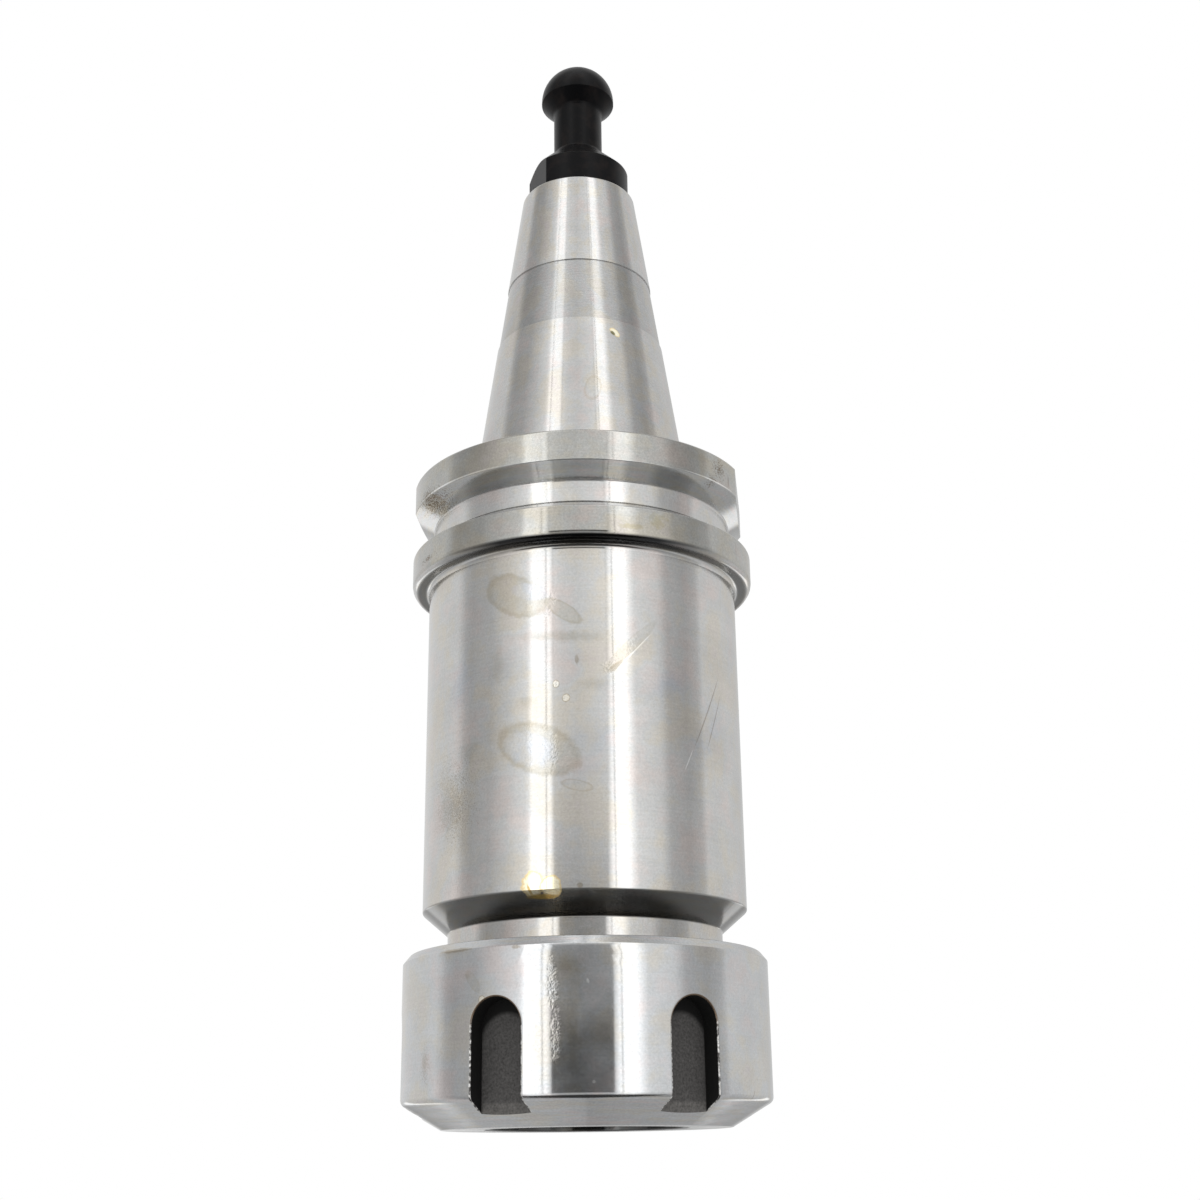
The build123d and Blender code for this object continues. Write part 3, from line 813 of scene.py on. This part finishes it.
world = bpy.data.worlds.new("studio")
bpy.context.scene.world = world
world.use_nodes = True
tree = world.node_tree
toward = put(tree, "TexCoord").outputs["Generated"]
turned_round = put(tree, "Mapping", {"Vector": toward, "Rotation": (0, 0, radians(90) - camera_turn)})
azimuth = put(tree, "TexGradient", {"Vector": turned_round.outputs["Vector"]}, gradient_type="RADIAL")
height = put(tree, "SeparateXYZ", {"Vector": toward}).outputs["Z"]
spread = stretched(tree, height, 0.4, 0.75, 1.0, 0.88)
centred = put(tree, "Math", {0: azimuth.outputs["Fac"], 1: 0.5}, operation="SUBTRACT").outputs[0]
across = put(tree, "Math", {0: centred, 1: spread, 2: 0.5}, operation="MULTIPLY_ADD").outputs[0]
panels = put(tree, "ValToRGB", {"Fac": across})
panel_stops = [
    (-180, 0.7), (-150, 0.84), (-104, 0.92), (-99, 0.78), (-95, 0.62), (-88, 0.53), (-70, 0.6), (-64, 0.72),
    (-56, 0.86), (-42, 1.2), (-39, 1.4), (-37, 2.0), (-23.5, 1.9), (-21, 1.0), (-15, 0.86), (-4, 0.8), (8, 0.9),
    (17, 1.0), (19, 1.5), (20.5, 2.0), (31, 2.0), (34, 1.6), (38, 1.15), (56, 0.95), (64, 0.62), (80, 0.52),
    (92, 0.64), (97, 0.88), (130, 0.84), (155, 0.68), (180, 0.6)]
fill_ramp(panels, [(angle / 360 + 0.5, grey(level)) for angle, level in panel_stops])
ahead_ramp = put(tree, "ValToRGB", {
    "Fac": put(tree, "Math", {0: height, 1: 0.5, 2: 0.5}, operation="MULTIPLY_ADD").outputs[0]})
ahead_stops = [
    (-1, 0.8), (-0.25, 0.75), (-0.17, 0.4), (-0.1, 0.08), (0.05, 0.06), (0.1, 0.1), (0.14, 0.6), (0.18, 0.96),
    (0.3, 1.28), (0.5, 1.28)]
fill_ramp(ahead_ramp, [(sine / 2 + 0.5, grey(level)) for sine, level in ahead_stops])
below = stretched(tree, height, -0.5, 0.0, 0.75, 1.0)
middle = put(tree, "Math", {0: across, 1: 0.4945, 2: 0.052}, operation="COMPARE").outputs[0]
ahead_level = mixed(tree, middle, below, ahead_ramp.outputs["Color"])
shown = mixed(tree, 1.0, panels.outputs["Color"], ahead_level, "MULTIPLY")
for low_seam, high_seam in ((-26.2, -34.4), (21.6, 20.8)):
    seam = stretched(tree, height, 0.38, 0.52, 0.5 + low_seam / 360, 0.5 + high_seam / 360)
    thin = put(tree, "Math", {0: across, 1: seam, 2: 0.4 / 360}, operation="COMPARE").outputs[0]
    shown = mixed(tree, thin, shown, grey(0.7))
low_front = product(
    tree, put(tree, "Math", {0: across, 1: 0.5, 2: 58 / 360}, operation="COMPARE").outputs[0],
    between(tree, height, -1.2, -0.6, 0.05))
shown = mixed(tree, low_front, shown, grey(0.04))
rear = put(tree, "Math", {0: centred}, operation="ABSOLUTE").outputs[0]
rear_low = between(tree, height, -0.6, -0.14, 0.04)
for inner, outer, blur, level in ((0.405, 0.432, 0.004, 1.5), (0.452, 0.52, 0.008, 0.42)):
    panel = product(tree, between(tree, rear, inner, outer, blur), rear_low)
    shown = mixed(tree, panel, shown, grey(level))
glossy = put(tree, "LightPath").outputs["Is Glossy Ray"]
tree.links.new(mixed(tree, glossy, grey(1), shown), tree.nodes["Background"].inputs["Color"])

# Camera: low in front of the nut, looking up the holder. Its lens, place and turns were fitted to the
# object's outline, and it shares its turn about the holder's axis with the studio.
scene = bpy.context.scene
scene.view_settings.view_transform = "Standard"
camera_data = bpy.data.cameras.new("camera")
camera_data.lens = 49.383
camera_data.sensor_width = 36
camera_data.clip_start = 0.01
camera = bpy.data.objects.new("camera", camera_data)
scene.collection.objects.link(camera)
scene.camera = camera
pitch, yaw, roll = 0.33260645, 0.01149513, -0.01289793
camera_back, camera_drop = 0.2310094, 0.0050112
ahead = Vector((sin(yaw) * cos(pitch), cos(yaw) * cos(pitch), sin(pitch)))
right = Vector((cos(yaw), -sin(yaw), 0))
up = right.cross(ahead)
right, up = cos(roll) * right + sin(roll) * up, cos(roll) * up - sin(roll) * right
pose = Matrix((
    (right.x, up.x, -ahead.x, 0), (right.y, up.y, -ahead.y, -camera_back), (right.z, up.z, -ahead.z, -camera_drop),
    (0, 0, 0, 1)))
camera.matrix_world = Matrix.Rotation(camera_turn, 4, "Z") @ pose
